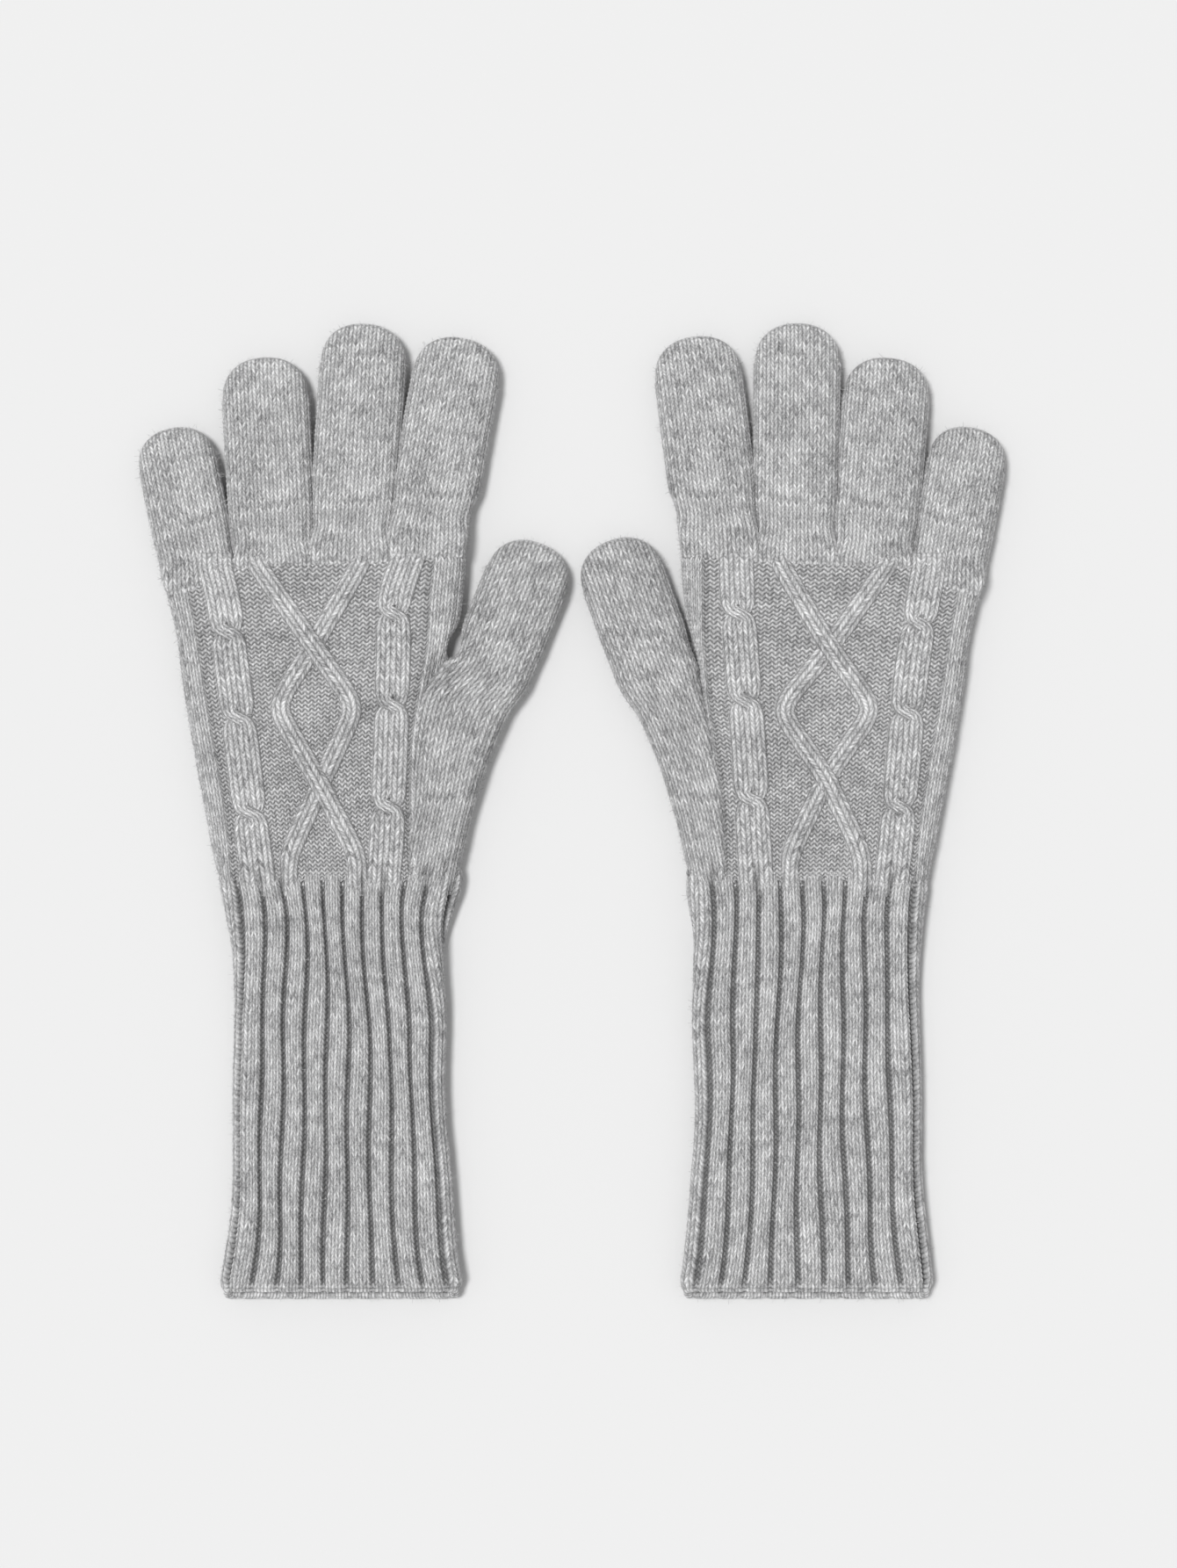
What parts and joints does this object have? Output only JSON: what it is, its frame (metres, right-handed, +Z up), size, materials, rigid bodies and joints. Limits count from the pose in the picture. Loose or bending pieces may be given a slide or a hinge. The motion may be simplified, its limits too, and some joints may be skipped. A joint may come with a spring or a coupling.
{
  "type": "long knitted gloves",
  "caption": "A pair of long knitted gloves with a ribbed cuff, a cabled back, a thumb gusset and closed fingertips, laid flat.",
  "frame": {"origin": "on the surface that the gloves lie on, under the middle of the pair's bounding box", "axes": "+Z up from the surface, with the backs of the gloves up and the palms down; +Y towards the fingertips; +X from the left-hand glove to the right-hand glove, whose thumbs point at each other"},
  "size_m": [0.2756, 0.3102, 0.012],
  "materials": {
    "wool_knit": "soft brushed melange wool knit, matt"
  },
  "bodies": {
    "left_hand": {"left_hand": "wool_knit"},
    "left_cuff": {"left_cuff": "wool_knit", "left_cuff_welt": "wool_knit"},
    "left_little_finger": {"left_little_finger": "wool_knit"},
    "left_ring_finger": {"left_ring_finger": "wool_knit"},
    "left_middle_finger": {"left_middle_finger": "wool_knit"},
    "left_index_finger": {"left_index_finger": "wool_knit"},
    "left_thumb": {"left_thumb": "wool_knit"},
    "right_hand": {"right_hand": "wool_knit"},
    "right_cuff": {"right_cuff": "wool_knit", "right_cuff_welt": "wool_knit"},
    "right_little_finger": {"right_little_finger": "wool_knit"},
    "right_ring_finger": {"right_ring_finger": "wool_knit"},
    "right_middle_finger": {"right_middle_finger": "wool_knit"},
    "right_index_finger": {"right_index_finger": "wool_knit"},
    "right_thumb": {"right_thumb": "wool_knit"}
  },
  "joints": [
    {"name": "left_wrist_bend", "type": "hinge", "parent": "left_hand", "child": "left_cuff", "pos_m": [-0.07387, -0.02063, 0], "axis": [1, 0, 0], "range_deg": [0, 80]},
    {"name": "left_little_finger_curl", "type": "hinge", "parent": "left_hand", "child": "left_little_finger", "pos_m": [-0.11884, 0.0768, 0], "axis": [-0.9806, -0.1959, 0], "range_deg": [0, 90]},
    {"name": "left_ring_finger_curl", "type": "hinge", "parent": "left_hand", "child": "left_ring_finger", "pos_m": [-0.09496, 0.08157, 0], "axis": [-0.9806, -0.1959, 0], "range_deg": [0, 90]},
    {"name": "left_middle_finger_curl", "type": "hinge", "parent": "left_hand", "child": "left_middle_finger", "pos_m": [-0.07039, 0.08648, 0], "axis": [-0.9806, -0.1959, 0], "range_deg": [0, 90]},
    {"name": "left_index_finger_curl", "type": "hinge", "parent": "left_hand", "child": "left_index_finger", "pos_m": [-0.04549, 0.09145, 0], "axis": [-0.9806, -0.1959, 0], "range_deg": [0, 90]},
    {"name": "left_thumb_curl", "type": "hinge", "parent": "left_hand", "child": "left_thumb", "pos_m": [-0.02549, 0.04698, 0], "axis": [-0.9272, 0.3746, 0], "range_deg": [0, 70]},
    {"name": "right_wrist_bend", "type": "hinge", "parent": "right_hand", "child": "right_cuff", "pos_m": [0.07466, -0.02063, 0], "axis": [1, 0, 0], "range_deg": [0, 80]},
    {"name": "right_little_finger_curl", "type": "hinge", "parent": "right_hand", "child": "right_little_finger", "pos_m": [0.11962, 0.0768, 0], "axis": [-0.9806, 0.1959, 0], "range_deg": [0, 90]},
    {"name": "right_ring_finger_curl", "type": "hinge", "parent": "right_hand", "child": "right_ring_finger", "pos_m": [0.09574, 0.08157, 0], "axis": [-0.9806, 0.1959, 0], "range_deg": [0, 90]},
    {"name": "right_middle_finger_curl", "type": "hinge", "parent": "right_hand", "child": "right_middle_finger", "pos_m": [0.07118, 0.08648, 0], "axis": [-0.9806, 0.1959, 0], "range_deg": [0, 90]},
    {"name": "right_index_finger_curl", "type": "hinge", "parent": "right_hand", "child": "right_index_finger", "pos_m": [0.04627, 0.09145, 0], "axis": [-0.9806, 0.1959, 0], "range_deg": [0, 90]},
    {"name": "right_thumb_curl", "type": "hinge", "parent": "right_hand", "child": "right_thumb", "pos_m": [0.0261, 0.04743, 0], "axis": [-0.9397, -0.342, 0], "range_deg": [0, 70]},
    {"name": "right_glove_lift", "type": "slide", "parent": "left_hand", "child": "right_hand", "axis": [0, 0, 1], "range_m": [0, 0.06]}
  ]
}
